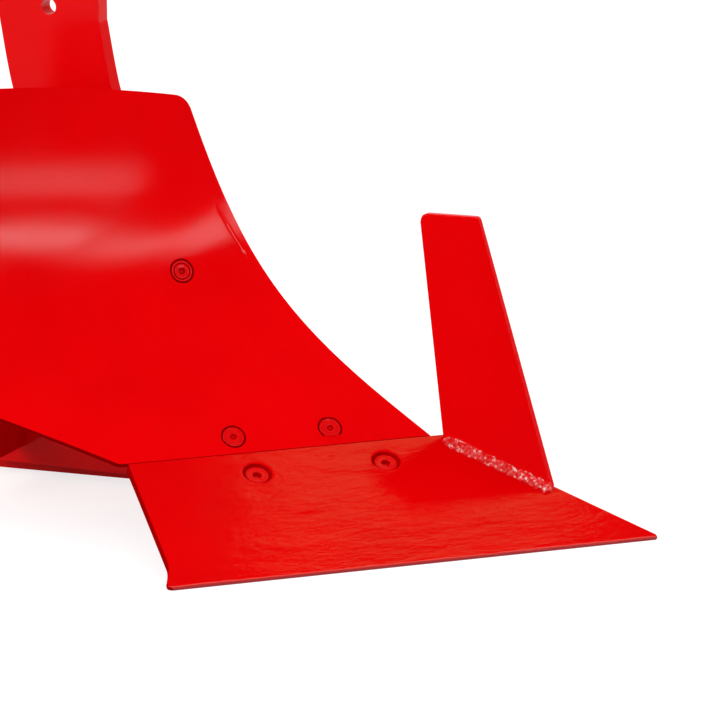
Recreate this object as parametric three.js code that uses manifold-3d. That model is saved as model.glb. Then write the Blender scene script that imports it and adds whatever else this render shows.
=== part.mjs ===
// Body of a moldboard plough for a 35 cm furrow: share, share fin, moldboard, frog, leg, landside,
// heel, bracket and stays, with the bolts and nuts that hold them together.
//
// Millimetres. +X is the direction of travel, +Y is the land side, +Z is up. While it is built,
// the tip of the share is the origin, and the ground is Z = 0. The furrow side looks to -Y.

import * as THREE from 'three';
import { mergeVertices } from 'three/addons/utils/BufferGeometryUtils.js';
import Module from 'manifold-3d';

const wasm = await Module();
wasm.setup();

const { degToRad } = THREE.MathUtils;

// ---------------------------------------------------------------------------------------------
// Sizes
// ---------------------------------------------------------------------------------------------

const GAP = 0.3; // between pieces that are bolted or welded face to face

// Share: a flat plate that lies on its cutting edge
const CUT_WIDTH = 353; // width of the furrow slice, square to travel
const SHARE_ANGLE = degToRad(43); // cutting edge to direction of travel
const SHARE_PITCH = degToRad(27); // plate to ground, square to the cutting edge
const SHARE_SLOPE = 179.5; // cutting edge to seam, up the slope
const SHARE_THICKNESS = 12;
const EDGE_HEIGHT = 3.6; // blunt front of the cutting edge
const TIP_BLUNT = 4; // cut off the sharp tip
const WING_FLARE = 9.4; // how far the wing's point reaches past its straight end
const WING_FLARE_RISE = 36;
const WING_CORNER = 4;
const SHARE_BOLTS_ALONG = [245.3, 382.3]; // from the tip, along the cutting edge
const SHARE_BOLTS_UP = 148.5; // from the cutting edge, up the slope
const SHARE_BOLT_SINK = 2.5;

// Fin: a knife welded to the share. Its foot is flush with the land side, its top leans out over it
const FIN_THICKNESS = 8;
const FIN_FOOT_FRONT = 114.6; // behind the tip
const FIN_FOOT_REAR = 232.6;
const FIN_TOP_FRONT = 210.2;
const FIN_TOP_REAR = 271.5;
const FIN_TOP_HEIGHT = 307.8; // above the ground
const FIN_LEAN = 0.15; // towards the unploughed land, for each millimetre up
const FIN_CORNER = 8;
const FIN_WELD_RADIUS = 7;

// Moldboard: ruled by level lines that start on the shin and turn outward with height
const MOLD_THICKNESS = 6;
const SHIN_INSET = 10; // shin to the plane of the land side
const SEAM_GAP = 0.6; // open seam between share and moldboard
const SHIN_SWEEP = 165; // the curved part of the shin's lean,
const SHIN_SWEEP_HEIGHT = 139; // which dies out over this height
const SHIN_LEAN = 0.327; // the straight part, back for each millimetre up
const SHIN_HEIGHT = 327; // seam to the height where the twist below is measured
const MOLD_TWIST = degToRad(10); // turn of the level lines over SHIN_HEIGHT
const TWIST_POWER = 1.3;
const MOLD_LENGTH = 660; // shin to tail, along the level lines
const TOP_START = 332; // top edge over the seam, at the shin
const TOP_CLIMB = 0.195;
const TOP_FALL = 0.00035;
const SHIN_CORNER = 12;
const TAIL_CORNER = 40;
const TAIL_RISE = 300; // the lower edge tends to this height over the seam
const TAIL_REACH = 350;
const SEAM_LENGTH = 330;
const LOWER_BOLTS_ALONG = [88, 191]; // from the shin
const LOWER_BOLTS_HEIGHT = 14; // over the seam
const UPPER_BOLT_ALONG = 86;
const UPPER_BOLT_HEIGHT = 163;

// Landside: a bar on the land side, its heel on the ground
const LANDSIDE_THICKNESS = 12;
const LANDSIDE_HEIGHT = 100;
const LANDSIDE_REAR = 855; // behind the tip
const LANDSIDE_FRONT = 165;
const LANDSIDE_BOLTS_BEHIND = [365, 495, 625];
const LANDSIDE_BOLTS_HEIGHT = 58;
const SOLE_LIFT = 12; // the landside's front end clears the ground
const NECK_BELOW_SEAM = 10; // the landside's top in front of the seam
const SHOULDER = 38; // half the length of the slope from there up to the level top
const LANDSIDE_REAR_CORNER = 15;

// Heel: a plate inside the rear end of the landside
const HEEL_THICKNESS = 10;
const HEEL_LENGTH = 105;
const HEEL_HEIGHT = 62;
const HEEL_CORNER = 15;
const HEEL_BOLT_SPACING = 52;

// Leg: one thick plate from the foot under the share to the head that the beam holds
const LEG_THICKNESS = 20;
const LEG_TOE = 170; // behind the tip
const LEG_HEEL = 740;
const LEG_SOLE = 14; // above the ground
const FOOT_HEIGHT = 98;
const LEG_TOP = 642;
const HEAD_FRONT = 605;
const HEAD_WIDTH = 115;
const HEAD_CORNER = 15;
const HEAD_HOLE_TOP_RADIUS = 10.5;
const HEAD_HOLE_LOW_RADIUS = 8.5;
const HEAD_HOLE_MARGIN = 38; // centre of the upper hole under the top
const HEAD_HOLE_SPACING = 100;

// Frog: two seats in one piece, with a web under their bend
const FROG_SHARE_SEAT = 10; // thickness under the share
const FROG_MOLD_SEAT = 12; // thickness behind the moldboard
const FROG_END = 428; // from the tip, along the cutting edge
const FROG_FRONT_UP = 98; // from the cutting edge, up the slope
const FROG_OVERLAP = 11; // the share seat runs on past the seam into the other seat
const FROG_MOLD_START = 2; // over the seam
const FROG_MOLD_HEIGHT = 56;
const WEB_THICKNESS = 10;
const WEB_BEHIND_SEAM = 2; // behind the upper corner of the share
const WEB_LOW = 20; // above the ground
const WEB_LENGTH = 190;

// Bracket behind the upper bolt
const BRACKET_THICKNESS = 10;
const BRACKET_WIDTH = 118;
const BRACKET_HALF_HEIGHT = 38;

// Stays from the leg to the moldboard
const PAD_THICKNESS = 8;
const LOWER_STAY_BEHIND = 705; // behind the tip
const LOWER_STAY_WIDTH = 12;
const LOWER_STAY_HEIGHT = 45;
const LOWER_STAY_LOW = 34; // above the ground, at the leg
const LOWER_STAY_LEVEL = 82; // level stretch next to the leg
const LOWER_PAD_HEIGHT = 131; // middle of the pad over the seam
const LOWER_PAD_SIZE = { halfLength: 40, halfHeight: 26, boltOffset: 20 };
const UPPER_STAY_RADIUS = 13;
const UPPER_STAY_BEHIND = 673;
const UPPER_STAY_HEIGHT = 374;
const UPPER_PAD_HEIGHT = 246;
const UPPER_PAD_TO_TAIL = 120; // middle of the pad in front of the moldboard's tail
const UPPER_PAD_SIZE = { halfLength: 62, halfHeight: 28, boltOffset: 42 };

// Countersunk M12 bolts and their nuts
const BOLT_RADIUS = 6;
const BOLT_HEAD_RADIUS = 12;
const BOLT_CLEARANCE = 0.5;
const BOLT_PAST_NUT = 3;
const NUT_ACROSS = 18;
const NUT_HEIGHT = 10;

const FAR = 2000; // reaches past the whole body

// ---------------------------------------------------------------------------------------------
// Places that follow from the sizes
// ---------------------------------------------------------------------------------------------

const X_AXIS = new THREE.Vector3(1, 0, 0);
const Y_AXIS = new THREE.Vector3(0, 1, 0);
const Z_AXIS = new THREE.Vector3(0, 0, 1);

const alongEdge = new THREE.Vector3(-Math.cos(SHARE_ANGLE), -Math.sin(SHARE_ANGLE), 0);
const levelBack = new THREE.Vector3(-Math.sin(SHARE_ANGLE), Math.cos(SHARE_ANGLE), 0);
const upSlope = levelBack.clone()
  .multiplyScalar(Math.cos(SHARE_PITCH))
  .addScaledVector(Z_AXIS, Math.sin(SHARE_PITCH));
const intoShare = new THREE.Vector3().crossVectors(alongEdge, upSlope);

const EDGE_LENGTH = CUT_WIDTH / Math.sin(SHARE_ANGLE);
const SEAM_UP = SHARE_SLOPE + SEAM_GAP; // cutting edge to the foot of the moldboard
const SEAM_BACK = SEAM_UP * Math.cos(SHARE_PITCH);
const SEAM_Z = EDGE_HEIGHT + SEAM_UP * Math.sin(SHARE_PITCH);

const LANDSIDE_INNER = -LANDSIDE_THICKNESS;
const LEG_OUTER = LANDSIDE_INNER - GAP;
const LEG_INNER = LEG_OUTER - LEG_THICKNESS;
const WELD_PLANE = LEG_INNER - GAP; // pieces welded to the leg's furrow face end here

// X where the line that runs `back` behind the cutting edge crosses the plane of this Y
const edgeLineX = (y, back) => (y * Math.cos(SHARE_ANGLE) - back) / Math.sin(SHARE_ANGLE);

const frameOf = (x, y, z, origin) => new THREE.Matrix4().makeBasis(x, y, z).setPosition(origin);
const ORIGIN = new THREE.Vector3();

// Local z of a frame is the direction in which an outline is extruded
const shareFrame = frameOf(alongEdge, upSlope, intoShare, new THREE.Vector3(0, 0, EDGE_HEIGHT));
const sideFrame = frameOf(X_AXIS, Z_AXIS, Y_AXIS.clone().negate(), ORIGIN);
const crossFrame = frameOf(Y_AXIS, Z_AXIS, X_AXIS, ORIGIN);

// ---------------------------------------------------------------------------------------------
// Solids
// ---------------------------------------------------------------------------------------------

function solidOf(geometry) {
  geometry.deleteAttribute('normal');
  geometry.deleteAttribute('uv');
  const merged = mergeVertices(geometry, 1e-4);
  const mesh = new wasm.Mesh({
    numProp: 3,
    vertProperties: new Float32Array(merged.attributes.position.array),
    triVerts: new Uint32Array(merged.index.array),
  });
  return new wasm.Manifold(mesh);
}

function geometryOf(solid) {
  const mesh = solid.getMesh();
  const geometry = new THREE.BufferGeometry();
  const positions = new Float32Array(mesh.vertProperties);
  geometry.setAttribute('position', new THREE.BufferAttribute(positions, 3));
  geometry.setIndex(new THREE.BufferAttribute(new Uint32Array(mesh.triVerts), 1));
  geometry.computeVertexNormals();
  return geometry;
}

// An outline extruded along a frame's z, between two depths
function prism(shape, from, to, frame) {
  const options = { depth: to - from, bevelEnabled: false, curveSegments: 12 };
  const geometry = new THREE.ExtrudeGeometry(shape, options);
  geometry.translate(0, 0, from);
  geometry.applyMatrix4(frame);
  return solidOf(geometry);
}

// A profile of [radius, depth] points turned about a frame's z; it starts and ends on the axis
function turned(profile, frame) {
  const points = profile.map(([radius, depth]) => new THREE.Vector2(radius, depth));
  const geometry = new THREE.LatheGeometry(points, 32);
  geometry.rotateX(Math.PI / 2);
  geometry.applyMatrix4(frame);
  return solidOf(geometry);
}

function box(low, high) {
  const size = new THREE.Vector3().subVectors(high, low);
  const middle = new THREE.Vector3().addVectors(low, high).multiplyScalar(0.5);
  const geometry = new THREE.BoxGeometry(size.x, size.y, size.z);
  geometry.translate(middle.x, middle.y, middle.z);
  return solidOf(geometry);
}

const outline = (points) => new THREE.Shape(points.map(([x, y]) => new THREE.Vector2(x, y)));

const circlePath = (x, y, radius) => new THREE.Path().absarc(x, y, radius, 0, 2 * Math.PI);
const disc = (radius) => new THREE.Shape().absarc(0, 0, radius, 0, 2 * Math.PI);

// Plate parallel to the land side, its outline in X and Z, between two values of Y
const sidePlate = (shape, low, high) => prism(shape, -high, -low, sideFrame);

// Everything on the land side of a plane of constant Y
const landOf = (y) => box(new THREE.Vector3(-FAR, y, -FAR), new THREE.Vector3(FAR, y + FAR, FAR));

// ---------------------------------------------------------------------------------------------
// Surface of the moldboard
// ---------------------------------------------------------------------------------------------

function shinX(z) {
  const height = z - SEAM_Z;
  const sweep = SHIN_SWEEP * Math.tanh(height / SHIN_SWEEP_HEIGHT);
  return edgeLineX(-SHIN_INSET, SEAM_BACK) - sweep - SHIN_LEAN * height;
}

const levelAngle = (z) =>
  SHARE_ANGLE + MOLD_TWIST * Math.pow(Math.max(z - SEAM_Z, 0) / SHIN_HEIGHT, TWIST_POWER);

// Front face at a height, a distance along its level line from the shin
function facePoint(z, along) {
  const angle = levelAngle(z);
  const behind = along * Math.cos(angle);
  const outward = along * Math.sin(angle);
  return new THREE.Vector3(shinX(z) - behind, -SHIN_INSET - outward, z);
}

function intoMold(z, along) {
  const step = 0.5;
  const up = facePoint(z + step, along).sub(facePoint(z - step, along));
  const side = facePoint(z, along + step).sub(facePoint(z, along - step));
  return side.cross(up).normalize();
}

const moldPoint = (z, along, depth) => facePoint(z, along).addScaledVector(intoMold(z, along), depth);

// Frame on the front face whose z points into the moldboard
function moldFrame(z, along) {
  const depth = intoMold(z, along);
  const angle = levelAngle(z);
  const level = new THREE.Vector3(-Math.cos(angle), -Math.sin(angle), 0);
  const up = new THREE.Vector3().crossVectors(depth, level);
  return frameOf(level, up, depth, facePoint(z, along));
}

// A shell that follows the moldboard: columns at the given distances along the level lines, each
// from lowEdge to highEdge, between two depths behind the front face
function shell(columns, rows, lowEdge, highEdge, near, far) {
  const positions = [];
  for (const depth of [near, far]) {
    for (const along of columns) {
      const low = lowEdge(along);
      const high = highEdge(along);
      for (let row = 0; row <= rows; row += 1) {
        positions.push(...moldPoint(low + ((high - low) * row) / rows, along, depth).toArray());
      }
    }
  }
  const last = columns.length - 1;
  const front = (column, row) => column * (rows + 1) + row;
  const back = (column, row) => front(column, row) + columns.length * (rows + 1);
  const index = [];
  for (let column = 0; column < last; column += 1) {
    for (let row = 0; row < rows; row += 1) {
      const corners = [[column, row], [column, row + 1], [column + 1, row + 1], [column + 1, row]];
      const [a, b, c, d] = corners.map((corner) => front(...corner));
      const [e, f, g, h] = corners.map((corner) => back(...corner));
      index.push(a, b, c, a, c, d, e, g, f, e, h, g);
    }
  }
  const rim = [];
  for (let row = 0; row < rows; row += 1) {
    rim.push([0, row]);
  }
  for (let column = 0; column < last; column += 1) {
    rim.push([column, rows]);
  }
  for (let row = rows; row > 0; row -= 1) {
    rim.push([last, row]);
  }
  for (let column = last; column > 0; column -= 1) {
    rim.push([column, 0]);
  }
  rim.forEach((start, i) => {
    const end = rim[(i + 1) % rim.length];
    index.push(front(...end), front(...start), back(...start));
    index.push(front(...end), back(...start), back(...end));
  });
  const geometry = new THREE.BufferGeometry();
  geometry.setAttribute('position', new THREE.Float32BufferAttribute(positions, 3));
  geometry.setIndex(index);
  return solidOf(geometry);
}

const steps = (from, to, count) =>
  Array.from({ length: count + 1 }, (_, i) => from + ((to - from) * i) / count);

// A patch of the same surface between level edges, with heights over the seam
function patch(alongFrom, alongTo, heightFrom, heightTo, near, far) {
  const columns = steps(alongFrom, alongTo, Math.max(2, Math.round((alongTo - alongFrom) / 25)));
  const rows = Math.max(2, Math.round((heightTo - heightFrom) / 12));
  return shell(columns, rows, () => SEAM_Z + heightFrom, () => SEAM_Z + heightTo, near, far);
}

// Height that a rounded corner takes off an edge, at a distance inside the end of the piece
const cornerDrop = (inside, radius) =>
  inside < radius ? radius - Math.sqrt(radius * radius - (radius - inside) * (radius - inside)) : 0;

const cornerSteps = (radius, count) =>
  steps(0, Math.PI / 2, count).map((angle) => radius * (1 - Math.cos(angle)));

function topEdge(along) {
  const curve = SEAM_Z + TOP_START + TOP_CLIMB * along - TOP_FALL * along * along;
  return curve - cornerDrop(along, SHIN_CORNER) - cornerDrop(MOLD_LENGTH - along, TAIL_CORNER);
}

function lowEdge(along) {
  const rise = TAIL_RISE * (1 - Math.exp(-Math.max(along - SEAM_LENGTH, 0) / TAIL_REACH));
  return SEAM_Z + rise + cornerDrop(MOLD_LENGTH - along, TAIL_CORNER);
}

// Distance along a level line where it passes this far behind the tip
const alongAt = (z, behind) => (shinX(z) + behind) / Math.cos(levelAngle(z));

// The lower stay's bar stands behind the pad's middle, less what the pad's own depth moves it
const LOWER_PAD = {
  ...LOWER_PAD_SIZE,
  height: LOWER_PAD_HEIGHT,
  along: alongAt(SEAM_Z + LOWER_PAD_HEIGHT, LOWER_STAY_BEHIND) + LOWER_STAY_WIDTH / 2,
};
const UPPER_PAD = { ...UPPER_PAD_SIZE, height: UPPER_PAD_HEIGHT, along: MOLD_LENGTH - UPPER_PAD_TO_TAIL };

// Distance along the moldboard's seam of a point that is a distance along the cutting edge
const seamAlong = (u) => u - (SHIN_INSET + SEAM_BACK * Math.cos(SHARE_ANGLE)) / Math.sin(SHARE_ANGLE);

// ---------------------------------------------------------------------------------------------
// Bolts
// ---------------------------------------------------------------------------------------------

const shareBoltFrames = SHARE_BOLTS_ALONG.map((u) => {
  const seat = new THREE.Matrix4().makeTranslation(u, SHARE_BOLTS_UP, SHARE_BOLT_SINK);
  return shareFrame.clone().multiply(seat);
});
const lowerBoltFrames = LOWER_BOLTS_ALONG.map((along) => moldFrame(SEAM_Z + LOWER_BOLTS_HEIGHT, along));
const upperBoltFrame = moldFrame(SEAM_Z + UPPER_BOLT_HEIGHT, UPPER_BOLT_ALONG);
const padBoltFrame = (pad) => moldFrame(SEAM_Z + pad.height, pad.along + pad.boltOffset);

// Frame of a bolt that goes in from the land side
const landBoltFrame = (behind, height) =>
  frameOf(X_AXIS, Z_AXIS, Y_AXIS.clone().negate(), new THREE.Vector3(-behind, 0, height));
const landsideBoltFrames = LANDSIDE_BOLTS_BEHIND.map((behind) =>
  landBoltFrame(behind, LANDSIDE_BOLTS_HEIGHT));
const heelMiddle = LANDSIDE_REAR - HEEL_LENGTH / 2;
const heelBoltFrames = [-0.5, 0.5].map((side) =>
  landBoltFrame(heelMiddle + side * HEEL_BOLT_SPACING, HEEL_HEIGHT / 2));

const HEAD_DEPTH = BOLT_HEAD_RADIUS - BOLT_RADIUS; // a right-angled countersink
const HOLE_RADIUS = BOLT_RADIUS + BOLT_CLEARANCE;

const HEAD_HOLE_RADIUS = BOLT_HEAD_RADIUS + BOLT_CLEARANCE;
const HOLE_FRONT = -20; // the hole is cut from this far in front of the face
const HOLE_BACK = 80;

const boltHole = (frame) =>
  turned([
    [0, HOLE_FRONT],
    [HEAD_HOLE_RADIUS, HOLE_FRONT],
    [HEAD_HOLE_RADIUS, 0],
    [HOLE_RADIUS, HEAD_DEPTH],
    [HOLE_RADIUS, HOLE_BACK],
    [0, HOLE_BACK],
  ], frame);

// Bolt whose nut seats at this depth
function bolt(frame, grip) {
  const end = grip + NUT_HEIGHT + BOLT_PAST_NUT;
  return turned([
    [0, GAP],
    [BOLT_HEAD_RADIUS - GAP, GAP],
    [BOLT_RADIUS, HEAD_DEPTH],
    [BOLT_RADIUS, end],
    [0, end],
  ], frame);
}

function nut(frame, grip) {
  const radius = NUT_ACROSS / 2 / Math.cos(Math.PI / 6);
  const angles = steps(0, 5, 5).map((i) => (i * Math.PI) / 3);
  const shape = outline(angles.map((angle) => [radius * Math.cos(angle), radius * Math.sin(angle)]));
  shape.holes.push(circlePath(0, 0, BOLT_RADIUS + GAP));
  return prism(shape, grip, grip + NUT_HEIGHT, frame);
}

const drilled = (solid, frames) => frames.reduce((body, frame) => body.subtract(boltHole(frame)), solid);

// ---------------------------------------------------------------------------------------------
// Share, fin and weld
// ---------------------------------------------------------------------------------------------

// Slab in the share's frame, between distances along the edge, up the slope and into the plate
function shareSlab(alongFrom, alongTo, upFrom, upTo, near, far) {
  const corners = [[alongFrom, upFrom], [alongTo, upFrom], [alongTo, upTo], [alongFrom, upTo]];
  return prism(outline(corners), near, far, shareFrame);
}

// Everything above and everything below the plane that lies this far into the share
const shareAbove = (depth) => shareSlab(-FAR, FAR, -FAR, FAR, -FAR, depth);
const shareBelow = (depth) => shareSlab(-FAR, FAR, -FAR, FAR, depth, FAR);

// Everything in front of the blunt tip
const tipFront = () =>
  box(new THREE.Vector3(-TIP_BLUNT, -FAR, -FAR), new THREE.Vector3(FAR, FAR, FAR));

// Distance along the cutting edge where the share ends, at a distance up the slope
function wingEnd(up) {
  const turn = Math.PI * Math.min(up / WING_FLARE_RISE, 1);
  const flare = (WING_FLARE * (1 + Math.cos(turn))) / 2;
  return EDGE_LENGTH - WING_FLARE + flare - cornerDrop(up, WING_CORNER);
}

// Room above the ground and behind the cutting edge
function edgeRoom() {
  const room = box(new THREE.Vector3(-FAR, 0, 0), new THREE.Vector3(FAR, FAR, FAR));
  const frame = frameOf(alongEdge.clone().negate(), levelBack, Z_AXIS, ORIGIN);
  return solidOf(geometryOf(room).applyMatrix4(frame));
}

function buildShare() {
  const rises = [
    ...cornerSteps(WING_CORNER, 4),
    ...steps(WING_CORNER, WING_FLARE_RISE, 8).slice(1),
    SHARE_SLOPE,
  ];
  const shape = outline([
    [-SHARE_SLOPE, SHARE_SLOPE],
    [-SHARE_SLOPE, -SHARE_SLOPE],
    [wingEnd(0), -SHARE_SLOPE],
    ...rises.map((up) => [wingEnd(up), up]),
  ]);
  const plate = prism(shape, 0, SHARE_THICKNESS, shareFrame).intersect(edgeRoom());
  return drilled(plate.subtract(landOf(0)).subtract(tipFront()), shareBoltFrames);
}

// Slope of the share's face along the land side and square to it
const FACE_CLIMB = Math.tan(SHARE_PITCH) * Math.sin(SHARE_ANGLE);
const FACE_FALL = Math.tan(SHARE_PITCH) * Math.cos(SHARE_ANGLE);

function finShape() {
  const footRise = EDGE_HEIGHT + FIN_FOOT_FRONT * FACE_CLIMB;
  const lean = (FIN_TOP_FRONT - FIN_FOOT_FRONT) / (FIN_TOP_HEIGHT - footRise);
  const half = FIN_CORNER / 2;
  const rear = -FIN_TOP_REAR;
  const front = -FIN_TOP_FRONT;
  const top = FIN_TOP_HEIGHT;
  const shape = new THREE.Shape();
  shape.moveTo(-FIN_FOOT_REAR, EDGE_HEIGHT);
  shape.lineTo(-FIN_FOOT_REAR, EDGE_HEIGHT + FIN_FOOT_REAR * FACE_CLIMB);
  shape.lineTo(rear, top - FIN_CORNER);
  shape.quadraticCurveTo(rear, top, rear + FIN_CORNER, top);
  shape.lineTo(front - half, top);
  shape.quadraticCurveTo(front, top, front + lean * half, top - half);
  shape.lineTo(-FIN_FOOT_FRONT + lean * (footRise - EDGE_HEIGHT), EDGE_HEIGHT);
  return shape;
}

// Leans a solid about the line where the fin's furrow side meets the share
function leanWithFin(solid) {
  const lean = new THREE.Matrix4().makeShear(FIN_LEAN * FACE_CLIMB, 0, 0, 0, 0, FIN_LEAN);
  const foot = EDGE_HEIGHT - FIN_THICKNESS * FACE_FALL;
  lean.setPosition(0, -FIN_LEAN * foot, 0);
  return solid.transform(lean.elements);
}

function buildFin() {
  const upright = sidePlate(finShape(), -FIN_THICKNESS, 0);
  return leanWithFin(upright).subtract(shareBelow(-GAP));
}

function buildFinWeld() {
  const start = new THREE.Vector3(-FIN_FOOT_FRONT, -FIN_THICKNESS, 0);
  start.z = EDGE_HEIGHT + FIN_FOOT_FRONT * FACE_CLIMB - FIN_THICKNESS * FACE_FALL;
  const run = new THREE.Vector3(-1, 0, FACE_CLIMB).normalize();
  const up = new THREE.Vector3().crossVectors(run, Y_AXIS);
  const length = (FIN_FOOT_REAR - FIN_FOOT_FRONT) / -run.x;
  const round = prism(disc(FIN_WELD_RADIUS), 0, length, frameOf(Y_AXIS, up, run, start));
  return round.subtract(leanWithFin(landOf(-FIN_THICKNESS - GAP))).subtract(shareBelow(-GAP));
}

// ---------------------------------------------------------------------------------------------
// Moldboard, frog, web and bracket
// ---------------------------------------------------------------------------------------------

function buildMoldboard() {
  const columns = [
    ...cornerSteps(SHIN_CORNER, 4),
    ...steps(SHIN_CORNER, SEAM_LENGTH, 11).slice(1),
    ...steps(SEAM_LENGTH, MOLD_LENGTH - TAIL_CORNER, 9).slice(1),
    ...cornerSteps(TAIL_CORNER, 5).reverse().slice(1).map((inside) => MOLD_LENGTH - inside),
  ];
  const plate = shell(columns, 14, lowEdge, topEdge, 0, MOLD_THICKNESS);
  const padFrames = [padBoltFrame(LOWER_PAD), padBoltFrame(UPPER_PAD)];
  return drilled(plate, [...lowerBoltFrames, upperBoltFrame, ...padFrames]);
}

const SHARE_SEAT_DEPTH = SHARE_THICKNESS + GAP;
const MOLD_SEAT_DEPTH = MOLD_THICKNESS + GAP;
const FROG_UNDERSIDE = SHARE_SEAT_DEPTH + FROG_SHARE_SEAT;

function buildFrog() {
  const shareSeat = shareSlab(
    0, FROG_END,
    FROG_FRONT_UP, SHARE_SLOPE + FROG_OVERLAP,
    SHARE_SEAT_DEPTH, FROG_UNDERSIDE);
  const moldSeat = patch(
    0, seamAlong(FROG_END),
    FROG_MOLD_START, FROG_MOLD_HEIGHT,
    MOLD_SEAT_DEPTH, MOLD_SEAT_DEPTH + FROG_MOLD_SEAT);
  const frog = shareSeat.add(moldSeat).subtract(landOf(WELD_PLANE));
  return drilled(frog, [...shareBoltFrames, ...lowerBoltFrames]);
}

// Upright web under the frog, along the seam
function buildFrogWeb() {
  const back = SEAM_BACK + SHARE_THICKNESS * Math.sin(SHARE_PITCH) + WEB_BEHIND_SEAM;
  const start = new THREE.Vector3(edgeLineX(0, back), 0, 0);
  const frame = frameOf(alongEdge, Z_AXIS, levelBack, start);
  const shape = outline([
    [0, WEB_LOW],
    [WEB_LENGTH / 2, WEB_LOW],
    [WEB_LENGTH, SEAM_Z / 2],
    [WEB_LENGTH, SEAM_Z],
    [0, SEAM_Z],
  ]);
  const web = prism(shape, 0, WEB_THICKNESS, frame);
  return web.subtract(shareAbove(FROG_UNDERSIDE + GAP)).subtract(landOf(WELD_PLANE));
}

function buildBracket() {
  const plate = patch(
    0, BRACKET_WIDTH,
    UPPER_BOLT_HEIGHT - BRACKET_HALF_HEIGHT, UPPER_BOLT_HEIGHT + BRACKET_HALF_HEIGHT,
    MOLD_SEAT_DEPTH, MOLD_SEAT_DEPTH + BRACKET_THICKNESS);
  return drilled(plate.subtract(landOf(WELD_PLANE)), [upperBoltFrame]);
}

// ---------------------------------------------------------------------------------------------
// Leg, landside and heel
// ---------------------------------------------------------------------------------------------

// Room of the share and of the moldboard by the shin, which what is fitted behind them keeps clear
const SHIN_ROOM = { before: 60, behind: 120, above: 40, front: 150 };
const shareRoom = () => shareSlab(-FAR, FAR, -FAR, SHARE_SLOPE + GAP, -FAR, SHARE_SEAT_DEPTH);
const moldRoom = () => patch(
  -SHIN_ROOM.before, SHIN_ROOM.behind,
  -GAP, TOP_START + SHIN_ROOM.above,
  -SHIN_ROOM.front, MOLD_SEAT_DEPTH);

// The leg's front edge follows the shin this far behind it, through these heights over the seam
const LEG_BEHIND_SHIN = 8;
const LEG_SHIN_HEIGHTS = [45, 90, 130, 170];

// [in front of the head's edge, height] of the curves that join the head to the foot
const NECK_FRONT = [[62, 327], [20, 402], [0, 492]];
const NECK_REAR = [[22, 392], [75, 302], [108, 212], [90, 132], [50, FOOT_HEIGHT]];

function legShape() {
  const headRear = HEAD_FRONT + HEAD_WIDTH;
  const neckTop = NECK_FRONT[NECK_FRONT.length - 1][1];
  const shape = new THREE.Shape();
  shape.moveTo(-LEG_TOE, LEG_SOLE);
  shape.lineTo(-LEG_TOE, SEAM_Z);
  shape.lineTo(shinX(SEAM_Z), SEAM_Z);
  LEG_SHIN_HEIGHTS.forEach((height) => {
    shape.lineTo(shinX(SEAM_Z + height) - LEG_BEHIND_SHIN, SEAM_Z + height);
  });
  shape.splineThru(NECK_FRONT.map(([front, z]) => new THREE.Vector2(front - HEAD_FRONT, z)));
  shape.lineTo(-HEAD_FRONT, LEG_TOP - HEAD_CORNER);
  shape.lineTo(-HEAD_FRONT - HEAD_CORNER, LEG_TOP);
  shape.lineTo(-headRear + HEAD_CORNER, LEG_TOP);
  shape.lineTo(-headRear, LEG_TOP - HEAD_CORNER);
  shape.lineTo(-headRear, neckTop);
  shape.splineThru(NECK_REAR.map(([front, z]) => new THREE.Vector2(front - headRear, z)));
  shape.lineTo(-LEG_HEEL, FOOT_HEIGHT);
  shape.lineTo(-LEG_HEEL, LEG_SOLE);
  const middle = -HEAD_FRONT - HEAD_WIDTH / 2;
  const topHole = LEG_TOP - HEAD_HOLE_MARGIN;
  shape.holes.push(circlePath(middle, topHole, HEAD_HOLE_TOP_RADIUS));
  shape.holes.push(circlePath(middle, topHole - HEAD_HOLE_SPACING, HEAD_HOLE_LOW_RADIUS));
  return shape;
}

function buildLeg() {
  const plate = sidePlate(legShape(), LEG_INNER, LEG_OUTER);
  return drilled(plate.subtract(shareRoom()).subtract(moldRoom()), landsideBoltFrames);
}

function buildLandside() {
  const top = LANDSIDE_HEIGHT;
  const neck = SEAM_Z - NECK_BELOW_SEAM;
  const seam = edgeLineX(0, SEAM_BACK) - SHARE_THICKNESS;
  const shape = outline([
    [-LANDSIDE_REAR, 0],
    [-LANDSIDE_REAR + HEEL_LENGTH, 0],
    [-LANDSIDE_FRONT, SOLE_LIFT],
    [-LANDSIDE_FRONT, neck],
    [seam - SHOULDER / 2, neck],
    [seam - 2 * SHOULDER, top],
    [-LANDSIDE_REAR + HEEL_LENGTH, top],
    [-LANDSIDE_REAR, top - LANDSIDE_REAR_CORNER],
  ]);
  const plate = sidePlate(shape, LANDSIDE_INNER, 0).subtract(shareRoom());
  return drilled(plate, [...landsideBoltFrames, ...heelBoltFrames]);
}

function buildHeel() {
  const rear = -LANDSIDE_REAR;
  const front = rear + HEEL_LENGTH;
  const shape = outline([
    [rear, 0],
    [front, 0],
    [front, HEEL_HEIGHT - HEEL_CORNER],
    [front - HEEL_CORNER, HEEL_HEIGHT],
    [rear + HEEL_CORNER, HEEL_HEIGHT],
    [rear, HEEL_HEIGHT - HEEL_CORNER],
  ]);
  return drilled(sidePlate(shape, LEG_OUTER - HEEL_THICKNESS, LEG_OUTER), heelBoltFrames);
}

// ---------------------------------------------------------------------------------------------
// Stays
// ---------------------------------------------------------------------------------------------

const padPlate = (pad) => patch(
  pad.along - pad.halfLength, pad.along + pad.halfLength,
  pad.height - pad.halfHeight, pad.height + pad.halfHeight,
  MOLD_SEAT_DEPTH, MOLD_SEAT_DEPTH + PAD_THICKNESS);

// Everything in front of the middle of a pad, which a stay's bar must not reach
const PAD_ROOM = { before: 160, behind: 110, below: 60, front: 250 };
const padFront = (pad) => patch(
  pad.along - PAD_ROOM.before, pad.along + PAD_ROOM.behind,
  -PAD_ROOM.below, TOP_START,
  -PAD_ROOM.front, MOLD_SEAT_DEPTH + PAD_THICKNESS / 2);

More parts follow.
